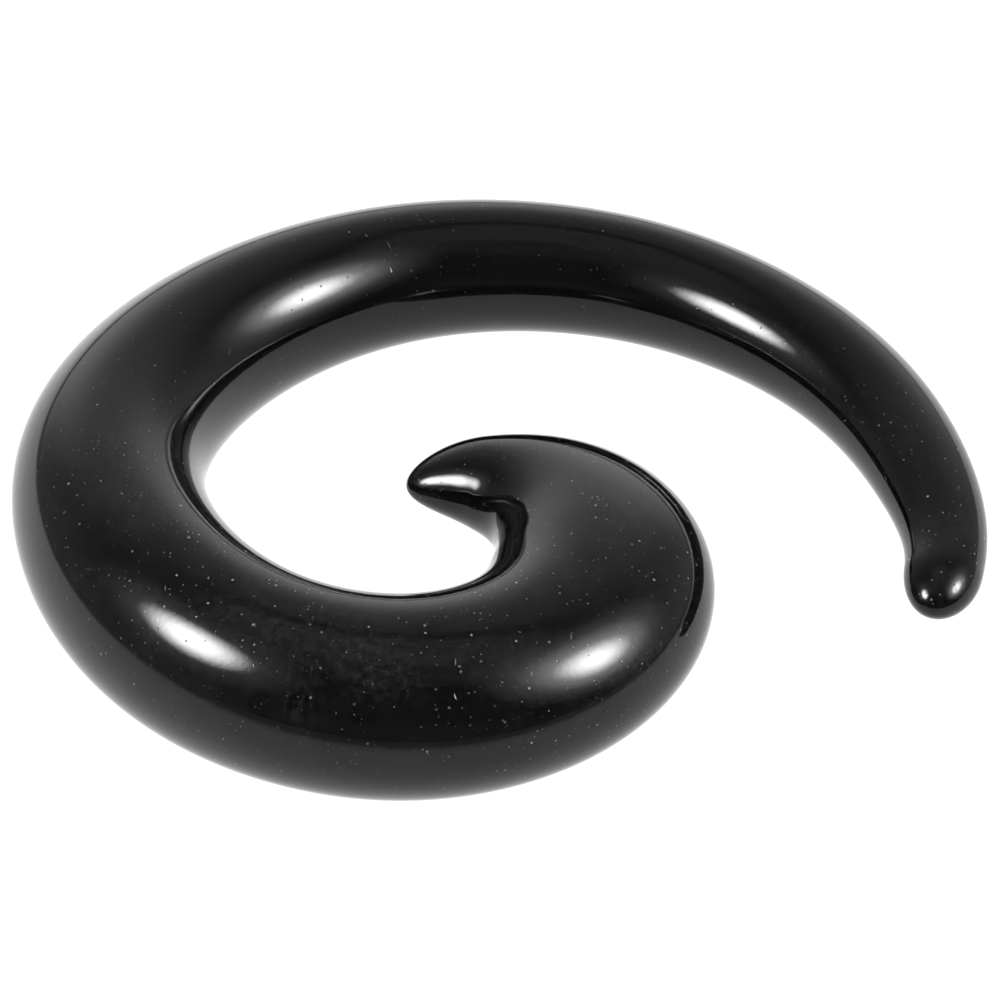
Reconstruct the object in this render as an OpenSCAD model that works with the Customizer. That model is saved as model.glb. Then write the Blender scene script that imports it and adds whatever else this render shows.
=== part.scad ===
// Spiral ear taper: one rod of solid acrylic, bent flat into a coil of about one turn and a
// half. It is thin at the outer tip, full over the inner turn, and ends in a short nose. Its
// section is nearly round, and a little wider than high where the rod bends most and at the tip.
// It lies on its side, as it would on a table. Sizes are in millimetres.

/* [Rod] */
// Thickness of the full stretch, which is the one that is worn
full_d = 10; // [6:0.5:14]
// How far the coil spreads, as a share of its usual reach
spread = 1; // [0.96:0.01:1.12]

/* [Ends] */
// Length of the rounding at the thin tip, in steps of the guide
tip_round = 0.68; // [0.4:0.02:0.8]
// Length of the rounding at the nose, in steps of the guide
nose_round = 1.24; // [1:0.02:1.4]

/* [Rest] */
// Angle by which the coil drops at its thinner back as it lies
lean = 3; // [0:0.1:6]
// Angle by which it drops at its thinner right side
roll = 1.6; // [0:0.1:3]

/* [Facets] */
// Sides of the section
section_sides = 40; // [24:4:48]
// Rings in each step of the guide
step_rings = 5; // [4:1:6]
// Rings in the rounding of each end
end_rings = 8; // [4:1:8]

/* [Hidden] */

acrylic_black = [0.03, 0.03, 0.035];

// Columns of the guide: turn about the eye in degrees, reach from the eye to the middle of
// the rod and thickness across the coil, both in full thicknesses, and height of the section
// as a share of that thickness
TURN = 0;
REACH = 1;
THICK = 2;
HIGH = 3;

// The rod runs smoothly close to these rows, and its two ends lie on the first and the last
GUIDE = [
    [-11.5, 2.210, 0.38, 0.80],
    [0, 2.288, 0.39, 0.82],
    [15, 2.296, 0.52, 0.86],
    [40, 2.420, 0.595, 0.92],
    [70, 2.552, 0.67, 0.95],
    [100, 2.557, 0.73, 0.96],
    [130, 2.375, 0.85, 0.96],
    [160, 2.165, 0.96, 1.00],
    [190, 1.785, 1.02, 1.05],
    [220, 1.495, 0.99, 1.02],
    [250, 1.238, 1.07, 0.90],
    [280, 0.980, 1.12, 0.83],
    [310, 0.757, 1.16, 0.79],
    [340, 0.600, 1.142, 0.78],
    [370, 0.525, 1.045, 0.78],
    [400, 0.515, 0.902, 0.79],
    [430, 0.560, 0.712, 0.80],
    [460, 0.637, 0.487, 0.82],
    [487, 0.699, 0.36, 0.86],
];
STEPS = len(GUIDE) - 1;

// A row as a point of the rod's middle, with half the thickness as its third value and half
// the height as its fourth
HALF_WIDE = 2;
HALF_HIGH = 3;
function guide_point(row) = full_d * [
    row[REACH] * spread * cos(row[TURN]),
    row[REACH] * spread * sin(row[TURN]),
    row[THICK] / 2,
    row[THICK] * row[HIGH] / 2
];
ROWS = [for (row = GUIDE) guide_point(row)];

// One more point past each end, mirrored, so that the curve starts and stops on the end rows
POINTS = concat([2 * ROWS[0] - ROWS[1]], ROWS, [2 * ROWS[STEPS] - ROWS[STEPS - 1]]);

// Shares of four neighbouring points in a place between the middle two, and their slopes
function shares(f) = [
    pow(1 - f, 3),
    3 * pow(f, 3) - 6 * f * f + 4,
    3 * f * f - 3 * pow(f, 3) + 3 * f + 1,
    pow(f, 3)
] / 6;
function slopes(f) = [-pow(1 - f, 2), 3 * f * f - 4 * f, 2 * f - 3 * f * f + 1, f * f] / 2;

// Place of the curve at t steps from the thin tip, and the way it runs there
function first_point(t) = min(floor(t), STEPS - 1);
function four_points(t) = [for (i = [0:3]) POINTS[first_point(t) + i]];
function place(t) = shares(t - first_point(t)) * four_points(t);
function run(t) = slopes(t - first_point(t)) * four_points(t);

// Share of the thickness left at x of the way into a rounded end
function rounding(x) = x >= 1 ? 1 : sqrt(1 - pow(1 - x, 2));
function end_rounding(t) = rounding(t / tip_round) * rounding((STEPS - t) / nose_round);

// Places of the rings: evenly along the rod, and closer towards the two round ends
function end_share(i) = 1 - cos(90 * i / end_rings);
MIDDLE = STEPS - tip_round - nose_round;
MIDDLE_RINGS = STEPS * step_rings;
RING_PLACES = concat(
    [for (i = [1:end_rings]) tip_round * end_share(i)],
    [for (i = [1:MIDDLE_RINGS - 1]) tip_round + MIDDLE * i / MIDDLE_RINGS],
    [for (i = [end_rings:-1:1]) STEPS - nose_round * end_share(i)]
);
RINGS = len(RING_PLACES);

// The coil's plane leans about the X axis, so that its back drops, then about the Y axis, so
// that its right side drops
function leaned(p) = [
    p[0],
    p[1] * cos(lean) + p[2] * sin(lean),
    p[2] * cos(lean) - p[1] * sin(lean)
];
function rolled(p) = [
    p[0] * cos(roll) + p[2] * sin(roll),
    p[1],
    p[2] * cos(roll) - p[0] * sin(roll)
];
function laid(p) = rolled(leaned(p));

// A ring stands square to the rod: out is the way across it in the coil's plane
function ring(t) = let (
    middle = place(t),
    way = run(t),
    out = [-way[1], way[0]] / norm([way[0], way[1]]),
    wide = middle[HALF_WIDE] * end_rounding(t),
    high = middle[HALF_HIGH] * end_rounding(t)
) [
    for (j = [0:section_sides - 1])
        let (a = 360 * j / section_sides, side = wide * cos(a))
        laid([middle[0] + side * out[0], middle[1] + side * out[1], high * sin(a)])
];
function pole(t) = laid([place(t)[0], place(t)[1], 0]);

SKIN = concat([for (t = RING_PLACES) each ring(t)], [pole(0), pole(STEPS)]);
TIP_POLE = RINGS * section_sides;
NOSE_POLE = TIP_POLE + 1;

// Number of the point at side j of ring i
function at(i, j) = i * section_sides + j % section_sides;
FACES = concat(
    [for (j = [0:section_sides - 1]) [TIP_POLE, at(0, j), at(0, j + 1)]],
    [
        for (i = [0:RINGS - 2], j = [0:section_sides - 1])
            each [
                [at(i, j), at(i + 1, j), at(i + 1, j + 1)],
                [at(i, j), at(i + 1, j + 1), at(i, j + 1)]
            ]
    ],
    [for (j = [0:section_sides - 1]) [NOSE_POLE, at(RINGS - 1, j + 1), at(RINGS - 1, j)]]
);

// The foot is the middle of the skin's box at its underside, which goes to the origin
function lowest(axis) = min([for (p = SKIN) p[axis]]);
function highest(axis) = max([for (p = SKIN) p[axis]]);
FOOT = [(lowest(0) + highest(0)) / 2, (lowest(1) + highest(1)) / 2, lowest(2)];

module spiral_taper() {
    color(acrylic_black)
        translate(-FOOT)
            polyhedron(points = SKIN, faces = FACES, convexity = 8);
}

spiral_taper();
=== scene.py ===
"""A spiral ear taper of polished black acrylic, lying on a pale table in soft studio light.

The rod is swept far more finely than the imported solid, along the same guide, so that the gloss on
it is smooth. Names that end in _mm are millimetres and _deg degrees; the scene itself is in metres.
"""

import logging
import math
from dataclasses import dataclass
from enum import Enum
from typing import Any

import bpy
from mathutils import Matrix, Vector


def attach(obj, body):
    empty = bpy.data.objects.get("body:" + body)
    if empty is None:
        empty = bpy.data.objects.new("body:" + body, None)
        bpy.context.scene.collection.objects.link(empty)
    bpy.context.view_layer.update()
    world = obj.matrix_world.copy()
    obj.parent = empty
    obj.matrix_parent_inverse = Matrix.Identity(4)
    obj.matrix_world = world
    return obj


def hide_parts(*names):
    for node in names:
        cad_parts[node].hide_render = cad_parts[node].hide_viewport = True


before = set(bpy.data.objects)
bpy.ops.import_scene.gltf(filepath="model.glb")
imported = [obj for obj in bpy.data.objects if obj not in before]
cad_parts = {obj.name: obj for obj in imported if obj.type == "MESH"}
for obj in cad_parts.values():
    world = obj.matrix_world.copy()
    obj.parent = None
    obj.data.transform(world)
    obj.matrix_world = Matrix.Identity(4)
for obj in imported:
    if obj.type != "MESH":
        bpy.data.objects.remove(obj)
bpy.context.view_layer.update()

MM = 0.001
log = logging.getLogger("spiral_ear_taper")

Tree = bpy.types.NodeTree
Node = bpy.types.Node
Socket = bpy.types.NodeSocket
Colour = tuple[float, float, float, float]
Span = tuple[float, float]


def linear(colour: str) -> Colour:
    """Turns an sRGB colour into the linear one that shaders take.

    Args:
        colour: The colour as a hex value, such as "#101012".

    Returns:
        Red, green, blue and a full alpha, linear, each from 0 to 1.
    """
    shares = [int(colour[i:i + 2], 16) / 255 for i in (1, 3, 5)]
    red, green, blue = (s / 12.92 if s <= 0.04045 else ((s + 0.055) / 1.055) ** 2.4 for s in shares)
    return red, green, blue, 1.0


def add_node(tree: Tree, kind: str, settings: dict[str, Any] | None = None,
             inputs: dict[str | int, Any] | None = None) -> Node:
    """Adds one node with its settings, and fills or links its inputs.

    Args:
        tree: The tree that the node goes into.
        kind: Blender's name for the kind of node.
        settings: The node's own options by name.
        inputs: For each input, by name or place, a value, or the socket that feeds it.

    Returns:
        The new node.
    """
    node = tree.nodes.new(kind)
    for name, value in (settings or {}).items():
        setattr(node, name, value)
    for key, value in (inputs or {}).items():
        socket = node.inputs[key]
        if isinstance(value, Socket):
            tree.links.new(value, socket)
        else:
            socket.default_value = value
    return node


def blank_material(name: str) -> tuple[bpy.types.Material, Tree]:
    """Makes a material whose tree is still empty.

    Args:
        name: The material's name.

    Returns:
        The material and its tree.
    """
    material = bpy.data.materials.new(name)
    material.use_nodes = True
    material.node_tree.nodes.clear()
    return material, material.node_tree


@dataclass(frozen=True)
class Flecks:
    """Small marks strewn over a surface: each is a spot, or a streak when it is stretched.

    Attributes:
        spacing_mm: Mean way from one mark to the next.
        size_mm: Half width of a mark.
        share: Share of the marks that are kept, the others being too faint to see.
        stretch: How many times longer than wide a mark is.
        turn_deg: Turn of the streaks about each axis.
    """

    spacing_mm: float
    size_mm: float
    share: float
    stretch: float = 1.0
    turn_deg: tuple[float, float, float] = (0.0, 0.0, 0.0)

    def mask(self, tree: Tree, place: Socket) -> Socket:
        """Makes the mask of the marks.

        Args:
            tree: The material's tree.
            place: The place on the piece, in metres.

        Returns:
            A value from 0 beside the marks up to 1, which differs from mark to mark.
        """
        step = self.spacing_mm * MM
        spread = add_node(tree, "ShaderNodeMapping", {"vector_type": "TEXTURE"}, {
            "Vector": place, "Rotation": [math.radians(turn) for turn in self.turn_deg],
            "Scale": (step * self.stretch, step, step)})
        marks = add_node(tree, "ShaderNodeTexVoronoi", None, {
            "Vector": spread.outputs["Vector"], "Scale": 1.0})
        size = self.size_mm / self.spacing_mm
        near = add_node(tree, "ShaderNodeMapRange", None, {
            "Value": marks.outputs["Distance"], "From Min": size / 2, "From Max": size,
            "To Min": 1.0, "To Max": 0.0})
        chance = add_node(tree, "ShaderNodeSeparateColor", None, {"Color": marks.outputs["Color"]})
        kept = add_node(tree, "ShaderNodeMapRange", None, {
            "Value": chance.outputs["Red"], "From Min": 1 - self.share, "From Max": 1.0})
        return add_node(tree, "ShaderNodeMath", {"operation": "MULTIPLY"}, {
            0: near.outputs["Result"], 1: kept.outputs["Result"]}).outputs[0]


def strewn(tree: Tree, place: Socket, kinds: tuple[Flecks, ...]) -> Socket | float:
    """Joins several kinds of flecks into one mask.

    Args:
        tree: The material's tree.
        place: The place on the piece, in metres.
        kinds: The kinds of flecks.

    Returns:
        The strongest of their masks at each place.
    """
    strongest: Socket | float = 0.0
    for flecks in kinds:
        strongest = add_node(tree, "ShaderNodeMath", {"operation": "MAXIMUM"}, {
            0: flecks.mask(tree, place), 1: strongest}).outputs[0]
    return strongest


@dataclass(frozen=True)
class PolishedAcrylic:
    """Black cast acrylic, buffed with compound: deep gloss with handling wear.

    The gloss is sharp enough to mirror the studio. Buffing leaves a faint haze and a few pinholes,
    use leaves fine scratches, and black acrylic draws dust, which shows as pale specks. A span is
    the noise's value at which a pattern starts and the one at which it is full.

    Attributes:
        name: The material's name.
        body: Colour of the acrylic.
        film: Colour where a film of fine dust dulls it most.
        dust: Colour of the specks of dust that lie on it.
        ior: Acrylic's own index of refraction.
        level: Strength of the mirror, under acrylic's own 0.5 to match the photo's weaker mirror.
        gloss: Roughness of the buffed skin.
        haze: Roughness where the buffing was poorer.
        haze_span: Span of the poorer buffing.
        haze_mm: Size of the hazy patches.
        veil_span: Span of the film, which gathers on the hazy patches.
        veil_least: Share of the film that lies between them.
        grain_mm: Size of the fine mottling of the film, drawn coarser than real dust.
        grain_span: Span of the mottling.
        detail: Number of finer levels in the haze and the mottling.
        drift_mm: Size of the patches that dust gathers in.
        drift_span: Span of these patches.
        drift_least: Share of the dust that lies between them.
        drift_detail: Number of finer levels in these patches.
        clean_mm: Places front to back from which the dust thins out, and where the skin is cleanest.
        clean_least: Share of film and dust on the cleanest skin.
        specks: The dust: coarse specks, fine ones and short fibres.
        pinholes: The pinholes in the skin, whose real size is a third of this.
        scratches: The fine scratches, in two ways, drawn wider than real ones.
        scatter: Share of the dust's colour that a scratch shows.
        relief_mm: Depth of the pinholes and scratches.
        ripple_mm: Depth of the fine ripple that the buffing left.
    """

    name: str = "black_acrylic_buffed"
    body: str = "#050505"
    film: str = "#1b1b1c"
    dust: str = "#7d7d7a"
    ior: float = 1.49
    level: float = 0.325
    gloss: float = 0.045
    haze: float = 0.09
    haze_span: Span = (0.45, 0.8)
    haze_mm: float = 4.0
    veil_span: Span = (0.35, 0.7)
    veil_least: float = 0.15
    grain_mm: float = 0.3
    grain_span: Span = (0.4, 0.7)
    detail: float = 3.0
    drift_mm: float = 7.0
    drift_span: Span = (0.4, 0.6)
    drift_least: float = 0.3
    drift_detail: float = 2.0
    clean_mm: Span = (-6.0, 9.0)
    clean_least: float = 0.2
    specks: tuple[Flecks, ...] = (
        Flecks(spacing_mm=0.55, size_mm=0.08, share=0.45),
        Flecks(spacing_mm=0.32, size_mm=0.045, share=0.5),
        Flecks(spacing_mm=0.4, size_mm=0.04, share=0.35, stretch=6.0, turn_deg=(0, -20, 88)),
    )
    pinholes: Flecks = Flecks(spacing_mm=0.45, size_mm=0.06, share=0.5)
    scratches: tuple[Flecks, ...] = (
        Flecks(spacing_mm=0.7, size_mm=0.045, share=0.4, stretch=14.0, turn_deg=(0, -30, 112)),
        Flecks(spacing_mm=0.8, size_mm=0.045, share=0.4, stretch=12.0, turn_deg=(0, -10, 40)),
    )
    scatter: float = 0.3
    relief_mm: float = 0.015
    ripple_mm: float = 0.002

    def front_share(self, tree: Tree, place: Socket) -> Socket:
        """Thins film and dust out from the front of the coil to its back.

        Args:
            tree: The material's tree.
            place: The place on the piece, in metres.

        Returns:
            The share of film and dust, 1 at the front.
        """
        along = add_node(tree, "ShaderNodeSeparateXYZ", None, {"Vector": place})
        return add_node(tree, "ShaderNodeMapRange", None, {
            "Value": along.outputs["Y"],
            "From Min": self.clean_mm[0] * MM, "From Max": self.clean_mm[1] * MM,
            "To Min": 1.0, "To Max": self.clean_least}).outputs["Result"]

    def film_colour(self, tree: Tree, haze: Socket, grain: Socket, front: Socket) -> Socket:
        """Lays the mottled film of fine dust over the acrylic's own colour.

        Args:
            tree: The material's tree.
            haze: The noise of the hazy patches.
            grain: The noise of the mottling.
            front: The share of film at each place from front to back.

        Returns:
            The colour of the filmed skin.
        """
        veil = add_node(tree, "ShaderNodeMapRange", None, {
            "Value": haze, "From Min": self.veil_span[0], "From Max": self.veil_span[1],
            "To Min": self.veil_least})
        mottle = add_node(tree, "ShaderNodeMapRange", None, {
            "Value": grain, "From Min": self.grain_span[0], "From Max": self.grain_span[1]})
        mottled = add_node(tree, "ShaderNodeMath", {"operation": "MULTIPLY"}, {
            0: veil.outputs["Result"], 1: mottle.outputs["Result"]})
        filmed = add_node(tree, "ShaderNodeMath", {"operation": "MULTIPLY"}, {
            0: mottled.outputs[0], 1: front})
        return add_node(tree, "ShaderNodeMix", {"data_type": "RGBA"}, {
            0: filmed.outputs[0], 6: linear(self.body), 7: linear(self.film)}).outputs[2]

    def dust_mask(self, tree: Tree, place: Socket, front: Socket) -> Socket:
        """Strews the specks of dust, more of them in some patches than in others.

        Args:
            tree: The material's tree.
            place: The place on the piece, in metres.
            front: The share of dust at each place from front to back.

        Returns:
            The mask of the dust.
        """
        drift = add_node(tree, "ShaderNodeTexNoise", None, {
            "Vector": place, "Scale": 1 / (self.drift_mm * MM), "Detail": self.drift_detail})
        patchy = add_node(tree, "ShaderNodeMapRange", None, {
            "Value": drift.outputs["Fac"], "From Min": self.drift_span[0],
            "From Max": self.drift_span[1], "To Min": self.drift_least})
        settled = add_node(tree, "ShaderNodeMath", {"operation": "MULTIPLY"}, {
            0: patchy.outputs["Result"], 1: front})
        return add_node(tree, "ShaderNodeMath", {"operation": "MULTIPLY"}, {
            0: strewn(tree, place, self.specks), 1: settled.outputs[0]}).outputs[0]

    def relief(self, tree: Tree, place: Socket, grain: Socket, scratched: Socket | float) -> Socket:
        """Ripples the skin faintly, and sinks the pinholes and scratches into it.

        Args:
            tree: The material's tree.
            place: The place on the piece, in metres.
            grain: The noise that the ripple follows.
            scratched: The mask of the scratches.

        Returns:
            The normal of the skin.
        """
        rippled = add_node(tree, "ShaderNodeBump", None, {
            "Height": grain, "Distance": self.ripple_mm * MM, "Strength": 1.0})
        depth = add_node(tree, "ShaderNodeMath", {"operation": "MAXIMUM"}, {
            0: self.pinholes.mask(tree, place), 1: scratched})
        return add_node(tree, "ShaderNodeBump", {"invert": True}, {
            "Height": depth.outputs[0], "Distance": self.relief_mm * MM, "Strength": 1.0,
            "Normal": rippled.outputs["Normal"]}).outputs["Normal"]

    def material(self) -> bpy.types.Material:
        """Builds the material.

        Returns:
            The material, whose patterns follow the piece's own place in millimetres.
        """
        material, tree = blank_material(self.name)
        place = add_node(tree, "ShaderNodeTexCoord").outputs["Object"]
        haze = add_node(tree, "ShaderNodeTexNoise", None, {
            "Vector": place, "Scale": 1 / (self.haze_mm * MM), "Detail": self.detail}).outputs["Fac"]
        grain = add_node(tree, "ShaderNodeTexNoise", None, {
            "Vector": place, "Scale": 1 / (self.grain_mm * MM), "Detail": self.detail}).outputs["Fac"]
        front = self.front_share(tree, place)

        # Scratches scatter a little light besides being sunk into the skin
        scratched = strewn(tree, place, self.scratches)
        marked = add_node(tree, "ShaderNodeMath", {"operation": "MULTIPLY_ADD"}, {
            0: scratched, 1: self.scatter, 2: self.dust_mask(tree, place, front)})
        colour = add_node(tree, "ShaderNodeMix", {"data_type": "RGBA"}, {
            0: marked.outputs[0], 6: self.film_colour(tree, haze, grain, front),
            7: linear(self.dust)})
        roughness = add_node(tree, "ShaderNodeMapRange", None, {
            "Value": haze, "From Min": self.haze_span[0], "From Max": self.haze_span[1],
            "To Min": self.gloss, "To Max": self.haze})
        skin = add_node(tree, "ShaderNodeBsdfPrincipled", None, {
            "Base Color": colour.outputs[2], "IOR": self.ior, "Specular IOR Level": self.level,
            "Roughness": roughness.outputs["Result"],
            "Normal": self.relief(tree, place, grain, scratched)})
        add_node(tree, "ShaderNodeOutputMaterial", None, {"Surface": skin.outputs["BSDF"]})
        return material


@dataclass(frozen=True)
class PaperWithPaintedGlow:
    """White paper, even and matte, whose glow is painted light.

    The paper is white as far as the photograph shows it. Its glow is painted light: it keeps the
    paper white where the taper's shadow would fall, it is stronger in a painted pool of light above
    a spot behind the taper, and it fades in front of the taper, where the rod mirrors a dim table.

    Attributes:
        name: The material's name.
        colour: Colour of the paper in the light from above.
        far_glow: Painted glow that is left far out, beyond the middle of the paper.
        table_glow: Painted glow over the middle of the paper, which keeps it white under shadows.
        painted_pool_glow: Glow of the painted pool of light, added right above its middle.
        painted_pool_middle_mm: Middle of the painted pool of light, behind the taper.
        table_reach_mm: Way from that middle at which the middle's glow is full and at which it ends.
        painted_pool_reach_mm: Way from that middle at which the painted pool of light is full and at
            which it ends.
        grain: Roughness of the paper.
    """

    name: str = "white_paper_painted_glow"
    colour: str = "#484848"
    far_glow: float = 0.1
    table_glow: float = 0.57
    painted_pool_glow: float = 0.4
    painted_pool_middle_mm: tuple[float, float, float] = (0.0, 61.0, 0.0)
    table_reach_mm: Span = (96.0, 150.0)
    painted_pool_reach_mm: Span = (28.0, 56.0)
    grain: float = 0.95

    def material(self) -> bpy.types.Material:
        """Builds the material.

        Returns:
            The material.
        """
        material, tree = blank_material(self.name)
        place = add_node(tree, "ShaderNodeTexCoord").outputs["Object"]
        # The glow is painted light: even over the middle, where it keeps the paper white under the
        # taper's shadow, a painted pool of light behind the taper, and a painted dimming far out
        way = add_node(tree, "ShaderNodeVectorMath", {"operation": "DISTANCE"}, {
            0: place, 1: [part * MM for part in self.painted_pool_middle_mm]})
        glow: Socket | float = self.far_glow
        for added, reach in ((self.table_glow, self.table_reach_mm),
                             (self.painted_pool_glow, self.painted_pool_reach_mm)):
            part = add_node(tree, "ShaderNodeMapRange", {"interpolation_type": "SMOOTHSTEP"}, {
                "Value": way.outputs["Value"], "From Min": reach[0] * MM, "From Max": reach[1] * MM,
                "To Min": added, "To Max": 0.0})
            glow = add_node(tree, "ShaderNodeMath", {"operation": "ADD"}, {
                0: part.outputs["Result"], 1: glow}).outputs[0]
        skin = add_node(tree, "ShaderNodeBsdfPrincipled", None, {
            "Base Color": linear(self.colour), "Roughness": self.grain, "Specular IOR Level": 0.0,
            "Emission Color": (1.0, 1.0, 1.0, 1.0), "Emission Strength": glow})
        add_node(tree, "ShaderNodeOutputMaterial", None, {"Surface": skin.outputs["BSDF"]})
        return material


@dataclass(frozen=True)
class GuideRow:
    """One row of the rod's guide.

    Attributes:
        turn_deg: Turn about the coil's eye.
        reach: Way from the eye to the rod's middle, in full thicknesses.
        thick: Thickness of the rod across the coil there, in full thicknesses.
        high: Height of the section there, as a share of that thickness.
    """

    turn_deg: float
    reach: float
    thick: float
    high: float


# Each row gives turn, reach, thickness and height, and the rows go from the thin tip to the nose
GUIDE = (
    GuideRow(-11.5, 2.210, 0.38, 0.80),
    GuideRow(0, 2.288, 0.39, 0.82),
    GuideRow(15, 2.296, 0.52, 0.86),
    GuideRow(40, 2.420, 0.595, 0.92),
    GuideRow(70, 2.552, 0.67, 0.95),
    GuideRow(100, 2.557, 0.73, 0.96),
    GuideRow(130, 2.375, 0.85, 0.96),
    GuideRow(160, 2.165, 0.96, 1.00),
    GuideRow(190, 1.785, 1.02, 1.05),
    GuideRow(220, 1.495, 0.99, 1.02),
    GuideRow(250, 1.238, 1.07, 0.90),
    GuideRow(280, 0.980, 1.12, 0.83),
    GuideRow(310, 0.757, 1.16, 0.79),
    GuideRow(340, 0.600, 1.142, 0.78),
    GuideRow(370, 0.525, 1.045, 0.78),
    GuideRow(400, 0.515, 0.902, 0.79),
    GuideRow(430, 0.560, 0.712, 0.80),
    GuideRow(460, 0.637, 0.487, 0.82),
    GuideRow(487, 0.699, 0.36, 0.86),
)


@dataclass
class SpiralRod:
    """The whole taper: one rod bent flat into a coil, thin at its tip, full at its inner turn.

    Attributes:
        finish: The finish of its skin.
        guide: Rows that the rod's middle runs close to, from the thin tip to the nose.
        full_mm: Thickness of the full stretch.
        tip_round_mm: Length of the rounding at the thin tip.
        nose_round_mm: Length of the rounding at the nose.
        lean_deg: Angle by which the coil drops at its thinner back as it lies.
        roll_deg: Angle by which it drops at its thinner right side.
        rings: Rings along the rod.
        sides: Sides of the section.
        crowding: Share by which the rings crowd together towards the two ends.
        merge_mm: Distance within which the points of an end's last ring become one.
        name: Name of the piece.
    """

    finish: PolishedAcrylic
    guide: tuple[GuideRow, ...] = GUIDE
    full_mm: float = 10.0
    tip_round_mm: float = 3.16
    nose_round_mm: float = 3.86
    lean_deg: float = 3.0
    roll_deg: float = 1.6
    rings: int = 520
    sides: int = 160
    crowding: float = 0.99
    merge_mm: float = 1e-5
    name: str = "polished_spiral_taper"

    def guide_curve(self) -> bpy.types.Object:
        """Makes the rod's middle line as a curve, which carries the sizes of the section.

        Its radius is half the thickness and its tilt, which a flat section doesn't need, is half
        the height. A mirrored point past each end makes it start and stop on the end rows.

        Returns:
            The curve object, flat in the coil's own plane.
        """
        points = [Vector((
            row.reach * math.cos(math.radians(row.turn_deg)),
            row.reach * math.sin(math.radians(row.turn_deg)),
            row.thick / 2,
            row.thick * row.high / 2)) * self.full_mm * MM for row in self.guide]
        points = [2 * points[0] - points[1], *points, 2 * points[-1] - points[-2]]
        curve = bpy.data.curves.new("rod_middle", "CURVE")
        curve.dimensions = "3D"
        spline = curve.splines.new("NURBS")
        spline.points.add(len(points) - 1)
        for spot, point in zip(spline.points, points):
            spot.co = (point.x, point.y, 0.0, 1.0)
            spot.radius = point.z
            spot.tilt = point.w
        spline.order_u = 4
        spline.use_endpoint_u = False
        spline.resolution_u = 64
        rod = bpy.data.objects.new(self.name, curve)
        bpy.context.scene.collection.objects.link(rod)
        return rod

    @staticmethod
    def ring_shares(tree: Tree, crowding: Socket) -> Socket:
        """Spaces the rings, which crowd together towards both ends of the rod.

        Each share is even - crowding * sin(tau * even) / tau, where even is the share of an evenly
        spaced ring and tau a full circle.

        Args:
            tree: The sweep's tree.
            crowding: How far they crowd, from 0 to 1.

        Returns:
            Each ring's place along the guide, from 0 to 1.
        """
        even = add_node(tree, "GeometryNodeSplineParameter").outputs["Factor"]
        turn = add_node(tree, "ShaderNodeMath", {"operation": "MULTIPLY"}, {0: even, 1: math.tau})
        wave = add_node(tree, "ShaderNodeMath", {"operation": "SINE"}, {0: turn.outputs[0]})
        scaled = add_node(tree, "ShaderNodeMath", {"operation": "MULTIPLY"}, {
            0: wave.outputs[0], 1: crowding})
        shift = add_node(tree, "ShaderNodeMath", {"operation": "DIVIDE"}, {
            0: scaled.outputs[0], 1: math.tau})
        return add_node(tree, "ShaderNodeMath", {"operation": "SUBTRACT"}, {
            0: even, 1: shift.outputs[0]}).outputs[0]

    @staticmethod
    def rounded_ends(tree: Tree, given: bpy.types.NodeOutputs, share: Socket,
                     radius: Socket) -> Socket:
        """Rounds each end as a quarter of an ellipse over its own length.

        Args:
            tree: The sweep's tree.
            given: The tree's own inputs.
            share: Each ring's place along the guide, from 0 to 1.
            radius: Each ring's radius without the rounding.

        Returns:
            Each ring's radius.
        """
        length = add_node(tree, "GeometryNodeCurveLength", None, {
            "Curve": given["Guide"]}).outputs["Length"]
        from_tip = add_node(tree, "ShaderNodeMath", {"operation": "MULTIPLY"}, {
            0: share, 1: length})
        from_nose = add_node(tree, "ShaderNodeMath", {"operation": "SUBTRACT"}, {
            0: length, 1: from_tip.outputs[0]})
        for way, rounding in ((from_tip, "Tip Rounding"), (from_nose, "Nose Rounding")):
            left = add_node(tree, "ShaderNodeMapRange", None, {
                "Value": way.outputs[0], "From Max": given[rounding], "To Min": 1.0, "To Max": 0.0})
            turn = add_node(tree, "ShaderNodeMath", {"operation": "ARCCOSINE"}, {
                0: left.outputs["Result"]})
            round_share = add_node(tree, "ShaderNodeMath", {"operation": "SINE"}, {
                0: turn.outputs[0]})
            radius = add_node(tree, "ShaderNodeMath", {"operation": "MULTIPLY"}, {
                0: radius, 1: round_share.outputs[0]}).outputs[0]
        return radius

    @staticmethod
    def pressed(tree: Tree, rod: Socket, flatness: Socket) -> Socket:
        """Presses the section to its height, while it lies square to the coil's plane.

        Args:
            tree: The sweep's tree.
            rod: The rod with a round section.
            flatness: Height of the section as a share of its width.

        Returns:
            The rod with its oval section.
        """
        shares = add_node(tree, "ShaderNodeCombineXYZ", None, {"X": 1.0, "Y": 1.0, "Z": flatness})
        place = add_node(tree, "ShaderNodeVectorMath", {"operation": "MULTIPLY"}, {
            0: add_node(tree, "GeometryNodeInputPosition").outputs["Position"],
            1: shares.outputs["Vector"]})
        return add_node(tree, "GeometryNodeSetPosition", None, {
            "Geometry": rod, "Position": place.outputs["Vector"]}).outputs["Geometry"]

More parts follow.
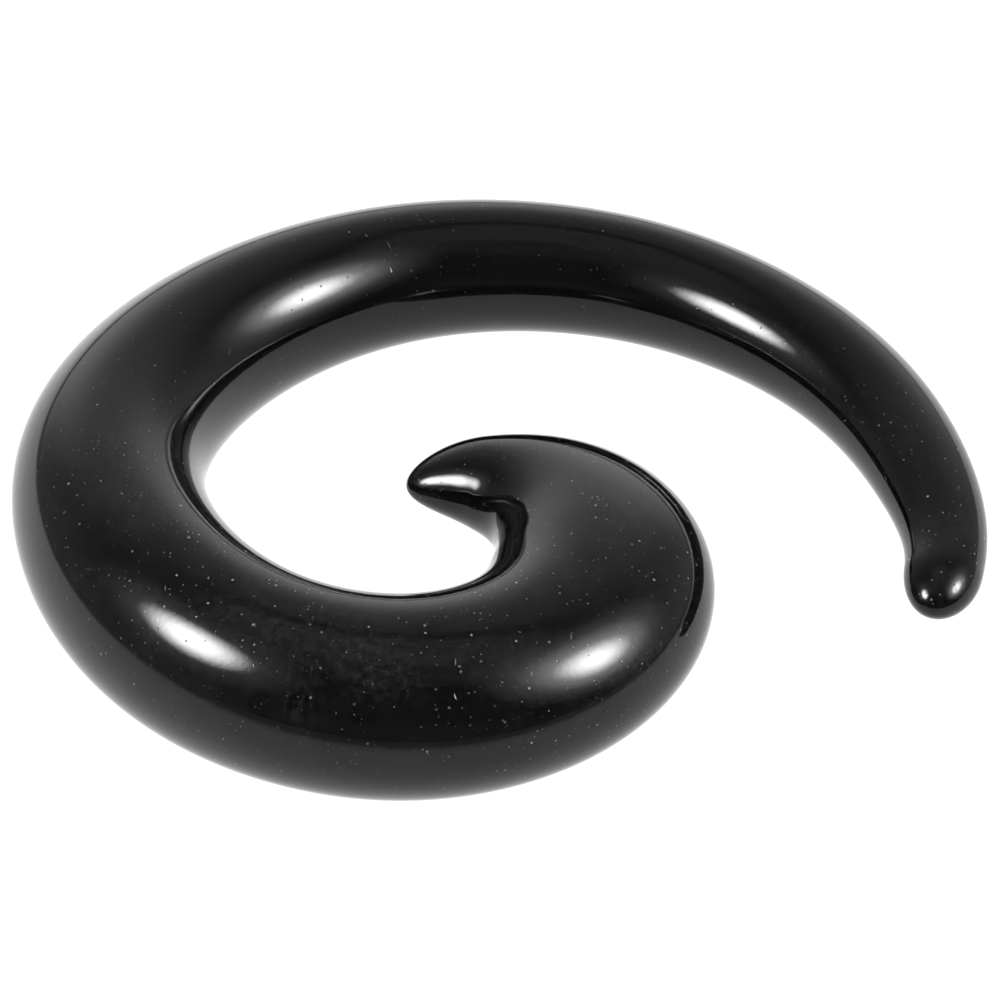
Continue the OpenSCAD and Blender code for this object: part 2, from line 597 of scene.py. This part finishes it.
    @staticmethod
    def lying(tree: Tree, rod: Socket, rest: Socket) -> Socket:
        """Leans the coil as it lies, and puts the middle of its underside at the origin.

        Args:
            tree: The sweep's tree.
            rod: The rod, flat in the coil's own plane.
            rest: The lean about each axis.

        Returns:
            The rod in its place.
        """
        leaned = add_node(tree, "GeometryNodeTransform", None, {"Geometry": rod, "Rotation": rest})
        box = add_node(tree, "GeometryNodeBoundBox", None, {"Geometry": leaned.outputs["Geometry"]})
        middle = add_node(tree, "ShaderNodeMix", {"data_type": "VECTOR"}, {
            "Factor": 0.5, 4: box.outputs["Min"], 5: box.outputs["Max"]})
        low = add_node(tree, "ShaderNodeSeparateXYZ", None, {"Vector": box.outputs["Min"]})
        across = add_node(tree, "ShaderNodeSeparateXYZ", None, {"Vector": middle.outputs[1]})
        foot = add_node(tree, "ShaderNodeCombineXYZ", None, {
            "X": across.outputs["X"], "Y": across.outputs["Y"], "Z": low.outputs["Z"]})
        drop = add_node(tree, "ShaderNodeVectorMath", {"operation": "SCALE"}, {
            0: foot.outputs["Vector"], "Scale": -1.0})
        return add_node(tree, "GeometryNodeTransform", None, {
            "Geometry": leaned.outputs["Geometry"],
            "Translation": drop.outputs["Vector"]}).outputs["Geometry"]

    def sweep_tree(self) -> Tree:
        """Builds the tree that sweeps an oval section along the guide.

        Returns:
            The tree, whose named inputs are the rod's sizes.
        """
        tree = bpy.data.node_groups.new("sweep_oval_rod", "GeometryNodeTree")
        sockets = (
            ("Guide", "INPUT", "NodeSocketGeometry"),
            ("Rings", "INPUT", "NodeSocketInt"),
            ("Sides", "INPUT", "NodeSocketInt"),
            ("Crowding", "INPUT", "NodeSocketFloat"),
            ("Tip Rounding", "INPUT", "NodeSocketFloat"),
            ("Nose Rounding", "INPUT", "NodeSocketFloat"),
            ("Merge Distance", "INPUT", "NodeSocketFloat"),
            ("Rest", "INPUT", "NodeSocketVector"),
            ("Finish", "INPUT", "NodeSocketMaterial"),
            ("Rod", "OUTPUT", "NodeSocketGeometry"),
        )
        for name, way, kind in sockets:
            tree.interface.new_socket(name, in_out=way, socket_type=kind)
        given = add_node(tree, "NodeGroupInput").outputs

        # Each ring takes its place, its half width and its half height from the guide
        share = self.ring_shares(tree, given["Crowding"])
        half_width = add_node(tree, "GeometryNodeInputRadius").outputs["Radius"]
        spot = add_node(tree, "GeometryNodeSampleCurve", {"mode": "FACTOR"}, {
            "Curves": given["Guide"], "Value": half_width, "Factor": share})
        half_height = add_node(tree, "GeometryNodeInputCurveTilt").outputs["Tilt"]
        tall = add_node(tree, "GeometryNodeSampleCurve", {"mode": "FACTOR"}, {
            "Curves": given["Guide"], "Value": half_height, "Factor": share})
        flatness = add_node(tree, "ShaderNodeMath", {"operation": "DIVIDE"}, {
            0: tall.outputs["Value"], 1: spot.outputs["Value"]})
        blank = add_node(tree, "GeometryNodeResampleCurve", {"mode": "COUNT"}, {
            "Curve": given["Guide"], "Count": given["Rings"]})
        stored = add_node(tree, "GeometryNodeSetCurveRadius", None, {
            "Curve": blank.outputs["Curve"],
            "Radius": self.rounded_ends(tree, given, share, spot.outputs["Value"])})
        upright = add_node(tree, "GeometryNodeSetCurveTilt", None, {
            "Curve": stored.outputs["Curve"], "Tilt": 0.0})
        kept = add_node(tree, "GeometryNodeCaptureAttribute", {"domain": "POINT"}, {
            "Geometry": upright.outputs["Curve"]})
        kept.capture_items.new("FLOAT", "Flatness")
        tree.links.new(flatness.outputs[0], kept.inputs["Flatness"])
        placed = add_node(tree, "GeometryNodeSetPosition", None, {
            "Geometry": kept.outputs["Geometry"], "Position": spot.outputs["Position"]})
        level = add_node(tree, "GeometryNodeSetCurveNormal", {"mode": "Z_UP"}, {
            "Curve": placed.outputs["Geometry"]})

        # A round section is swept along them, pressed oval and laid on the table
        section = add_node(tree, "GeometryNodeCurvePrimitiveCircle", None, {
            "Resolution": given["Sides"], "Radius": 1.0})
        swept = add_node(tree, "GeometryNodeCurveToMesh", None, {
            "Curve": level.outputs["Curve"], "Profile Curve": section.outputs["Curve"],
            "Scale": add_node(tree, "GeometryNodeInputRadius").outputs["Radius"]})
        closed = add_node(tree, "GeometryNodeMergeByDistance", None, {
            "Geometry": swept.outputs["Mesh"], "Distance": given["Merge Distance"]})
        oval = self.pressed(tree, closed.outputs["Geometry"], kept.outputs["Flatness"])
        smooth = add_node(tree, "GeometryNodeSetShadeSmooth", None, {
            "Geometry": self.lying(tree, oval, given["Rest"])})
        real = add_node(tree, "GeometryNodeRealizeInstances", None, {
            "Geometry": smooth.outputs["Geometry"]})
        dressed = add_node(tree, "GeometryNodeSetMaterial", None, {
            "Geometry": real.outputs["Geometry"], "Material": given["Finish"]})
        add_node(tree, "NodeGroupOutput", None, {"Rod": dressed.outputs["Geometry"]})
        return tree

    def build(self) -> bpy.types.Object:
        """Sweeps the rod and turns the result into a plain mesh piece.

        Returns:
            The piece, with its place in its mesh.
        """
        rod = self.guide_curve()
        tree = self.sweep_tree()
        sweep = rod.modifiers.new("sweep", "NODES")
        sweep.node_group = tree
        sizes = {
            "Rings": self.rings,
            "Sides": self.sides,
            "Crowding": self.crowding,
            "Tip Rounding": self.tip_round_mm * MM,
            "Nose Rounding": self.nose_round_mm * MM,
            "Merge Distance": self.merge_mm * MM,
            "Rest": (-math.radians(self.lean_deg), math.radians(self.roll_deg), 0.0),
            "Finish": self.finish.material(),
        }
        for item in tree.interface.items_tree:
            if item.name in sizes:
                sweep[item.identifier] = sizes[item.name]
        bpy.context.view_layer.update()
        shown = bpy.context.evaluated_depsgraph_get()
        mesh = bpy.data.meshes.new_from_object(rod.evaluated_get(shown), depsgraph=shown)
        rod.modifiers.remove(sweep)
        bpy.data.objects.remove(rod)
        mesh.name = self.name
        piece = bpy.data.objects.new(self.name, mesh)
        bpy.context.scene.collection.objects.link(piece)
        return piece

    def dress(self, piece: bpy.types.Object) -> None:
        """Args:
            piece: The swept rod.
        """
        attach(piece, "root")
        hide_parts("spiral_taper")


class PatchShape(Enum):
    """How a patch of the studio's dome is bounded."""

    ROUND = "round"
    BAND = "band"


@dataclass(frozen=True)
class DomePatch:
    """One soft patch of light or dark on the studio's dome, as seen from the table.

    Attributes:
        name: What the patch stands for.
        shape: Whether it is round or bounded by azimuth and elevation.
        azimuth_deg: Its middle, 0 straight ahead of the camera and 90 to the right.
        elevation_deg: Its middle above the horizon.
        full_deg: Half width, and for a band half height too, in which it is full.
        gone_deg: Half width, and for a band half height too, at which it has faded out.
        glow: Brightness, where 1 is white paper in full light.
    """

    name: str
    shape: PatchShape
    azimuth_deg: float
    elevation_deg: float
    full_deg: tuple[float, ...]
    gone_deg: tuple[float, ...]
    glow: float

    @staticmethod
    def fade(tree: Tree, angle: Socket, full_deg: float, gone_deg: float) -> Socket:
        """Fades the patch out away from its middle.

        Args:
            tree: The dome's tree.
            angle: The angle from the patch's middle.
            full_deg: The angle up to which it is full.
            gone_deg: The angle at which it is gone.

        Returns:
            A value from 1 in the patch's middle to 0 outside it.
        """
        return add_node(tree, "ShaderNodeMapRange", {"interpolation_type": "SMOOTHSTEP"}, {
            "Value": angle, "From Min": math.radians(full_deg), "From Max": math.radians(gone_deg),
            "To Min": 1.0, "To Max": 0.0}).outputs["Result"]

    def mask(self, tree: Tree, way: Socket) -> Socket:
        """Makes the mask of the patch.

        Args:
            tree: The dome's tree.
            way: The direction that is looked up.

        Returns:
            A value from 0 outside the patch to 1 in its middle.
        """
        azimuth, elevation = math.radians(self.azimuth_deg), math.radians(self.elevation_deg)
        if self.shape is PatchShape.ROUND:
            aim = (math.sin(azimuth) * math.cos(elevation), math.cos(azimuth) * math.cos(elevation),
                   math.sin(elevation))
            dot = add_node(tree, "ShaderNodeVectorMath", {"operation": "DOT_PRODUCT"}, {
                0: way, 1: aim})
            angle = add_node(tree, "ShaderNodeMath", {"operation": "ARCCOSINE"}, {
                0: dot.outputs["Value"]})
            return self.fade(tree, angle.outputs[0], self.full_deg[0], self.gone_deg[0])
        turned = add_node(tree, "ShaderNodeVectorRotate", {"rotation_type": "Z_AXIS"}, {
            "Vector": way, "Angle": azimuth})
        parts = add_node(tree, "ShaderNodeSeparateXYZ", None, {"Vector": turned.outputs["Vector"]})
        side = add_node(tree, "ShaderNodeMath", {"operation": "ARCTAN2"}, {
            0: parts.outputs["X"], 1: parts.outputs["Y"]})
        rise = add_node(tree, "ShaderNodeMath", {"operation": "ARCSINE"}, {0: parts.outputs["Z"]})
        above = add_node(tree, "ShaderNodeMath", {"operation": "SUBTRACT"}, {
            0: rise.outputs[0], 1: elevation})
        masks = []
        for angle, full, gone in zip((side, above), self.full_deg, self.gone_deg):
            off = add_node(tree, "ShaderNodeMath", {"operation": "ABSOLUTE"}, {0: angle.outputs[0]})
            masks.append(self.fade(tree, off.outputs[0], full, gone))
        return add_node(tree, "ShaderNodeMath", {"operation": "MULTIPLY"}, {
            0: masks[0], 1: masks[1]}).outputs[0]


# Each row gives name, shape, azimuth, elevation, width where full, width where gone, and glow
PATCHES = (
    DomePatch("room_behind", PatchShape.BAND, 10, 0, (60, 90), (120, 91), 0.12),
    DomePatch("ceiling", PatchShape.ROUND, 0, 90, (24,), (28,), 0.16),
    DomePatch("ceiling_back", PatchShape.BAND, 0, 90, (60, 25), (140, 31), 0.3),
    DomePatch("backdrop_top", PatchShape.BAND, 0, 0, (15, 50), (60, 57), 0.26),
    DomePatch("backdrop_high", PatchShape.BAND, 0, 0, (15, 28), (60, 52), 0.42),
    DomePatch("backdrop_low", PatchShape.BAND, -5, 0, (10, 8), (46, 34), 0.93),
    DomePatch("left_wall", PatchShape.BAND, -80, 0, (25, 3), (60, 40), 0.24),
    DomePatch("right_wall", PatchShape.BAND, 72, 0, (15, 3), (48, 40), 0.38),
    DomePatch("front_table_end", PatchShape.BAND, 188, 5, (28, 12), (42, 16), 0.12),
    DomePatch("left_glow", PatchShape.ROUND, -103, 39, (7,), (33,), 1.1),
    DomePatch("right_glow", PatchShape.ROUND, 97.5, 38, (0.5,), (38,), 2.75),
    DomePatch("left_softbox", PatchShape.ROUND, -104.5, 39, (2,), (17,), 38.0),
    DomePatch("right_softbox_edge", PatchShape.ROUND, 97.5, 37.5, (0,), (26,), 9.5),
    DomePatch("right_softbox", PatchShape.ROUND, 97.5, 37, (1,), (15.5,), 35.0),
)


@dataclass
class Studio:
    """The plain studio: a pale table, and a dome with two softboxes and a lit backdrop.

    Attributes:
        paper: Finish of the table.
        table_m: Width of the table.
        dark: Brightness of the unlit room.
        exposure: Stops by which the picture is brighter.
        patches: Patches of the dome, each laid over those before it.
    """

    paper: PaperWithPaintedGlow
    table_m: float = 6.0
    dark: float = 0.05
    exposure: float = 0.62
    patches: tuple[DomePatch, ...] = PATCHES

    def expose(self) -> None:
        """Sets the plain view of colours, a little brighter, as the photograph was exposed."""
        view = bpy.context.scene.view_settings
        view.view_transform = "Standard"
        view.exposure = self.exposure

    def table(self) -> bpy.types.Object:
        """Makes the table top that the taper lies on.

        Returns:
            The table.
        """
        half = self.table_m / 2
        corners = [(-half, -half, 0), (half, -half, 0), (half, half, 0), (-half, half, 0)]
        mesh = bpy.data.meshes.new("table")
        mesh.from_pydata(corners, [], [(0, 1, 2, 3)])
        mesh.materials.append(self.paper.material())
        table = bpy.data.objects.new("table", mesh)
        bpy.context.scene.collection.objects.link(table)
        return table

    def dome(self) -> bpy.types.World:
        """Builds the dome of light as the scene's world.

        Its patches are wide and soft, so that rays find them without being aimed at them. The aimed
        sampling is turned off, and the picture takes half the time.

        Returns:
            The world.
        """
        world = bpy.data.worlds.new("studio_dome")
        world.use_nodes = True
        tree = world.node_tree
        tree.nodes.clear()
        way = add_node(tree, "ShaderNodeTexCoord").outputs["Generated"]
        glow: Socket | float = self.dark
        for patch in self.patches:
            glow = add_node(tree, "ShaderNodeMix", {"clamp_factor": True}, {
                0: patch.mask(tree, way), 2: glow, 3: patch.glow}).outputs[0]
        light = add_node(tree, "ShaderNodeBackground", None, {"Strength": glow})
        add_node(tree, "ShaderNodeOutputWorld", None, {"Surface": light.outputs["Background"]})
        world.cycles.sampling_method = "NONE"
        bpy.context.scene.world = world
        return world


@dataclass
class ProductCamera:
    """The camera above the table, as the photograph has it.

    Attributes:
        target_mm: The point that it looks at.
        distance_mm: Its way from that point.
        elevation_deg: Its angle above the table.
        azimuth_deg: Its angle to the right of straight in front.
        roll_deg: Its turn about the way that it looks.
        span_mm: Width of the view at the target.
    """

    target_mm: tuple[float, float, float] = (0.1157, -1.2954, 4.4334)
    distance_mm: float = 400.0
    elevation_deg: float = 40.98
    azimuth_deg: float = 1.39
    roll_deg: float = -2.12
    span_mm: float = 50.05

    def build(self) -> bpy.types.Object:
        """Makes the camera and gives it to the scene.

        Returns:
            The camera.
        """
        data = bpy.data.cameras.new("product_camera")
        data.lens = data.sensor_width * self.distance_mm / self.span_mm
        data.clip_start = 0.01
        data.clip_end = 20.0
        rise, aside = math.radians(self.elevation_deg), math.radians(self.azimuth_deg)
        back = Vector((
            math.sin(aside) * math.cos(rise), -math.cos(aside) * math.cos(rise), math.sin(rise)))
        place = (Vector(self.target_mm) + back * self.distance_mm) * MM
        level = back.to_track_quat("Z", "Y").to_matrix().to_4x4()
        roll = Matrix.Rotation(math.radians(self.roll_deg), 4, "Z")
        camera = bpy.data.objects.new("product_camera", data)
        camera.matrix_world = Matrix.Translation(place) @ level @ roll
        bpy.context.scene.collection.objects.link(camera)
        bpy.context.scene.camera = camera
        return camera


def main() -> None:
    """Builds the camera, the studio and the taper, and reports each piece."""
    logging.basicConfig(level=logging.INFO, format="%(name)s: %(message)s")
    ProductCamera().build()
    studio = Studio(PaperWithPaintedGlow())
    table = studio.table()
    log.info("%s: %.1f m wide", table.name, studio.table_m)
    studio.dome()
    studio.expose()
    rod = SpiralRod(PolishedAcrylic())
    piece = rod.build()
    rod.dress(piece)
    log.info("%s: %d points, %d faces", piece.name, len(piece.data.vertices), len(piece.data.polygons))


if __name__ == "__main__":
    main()
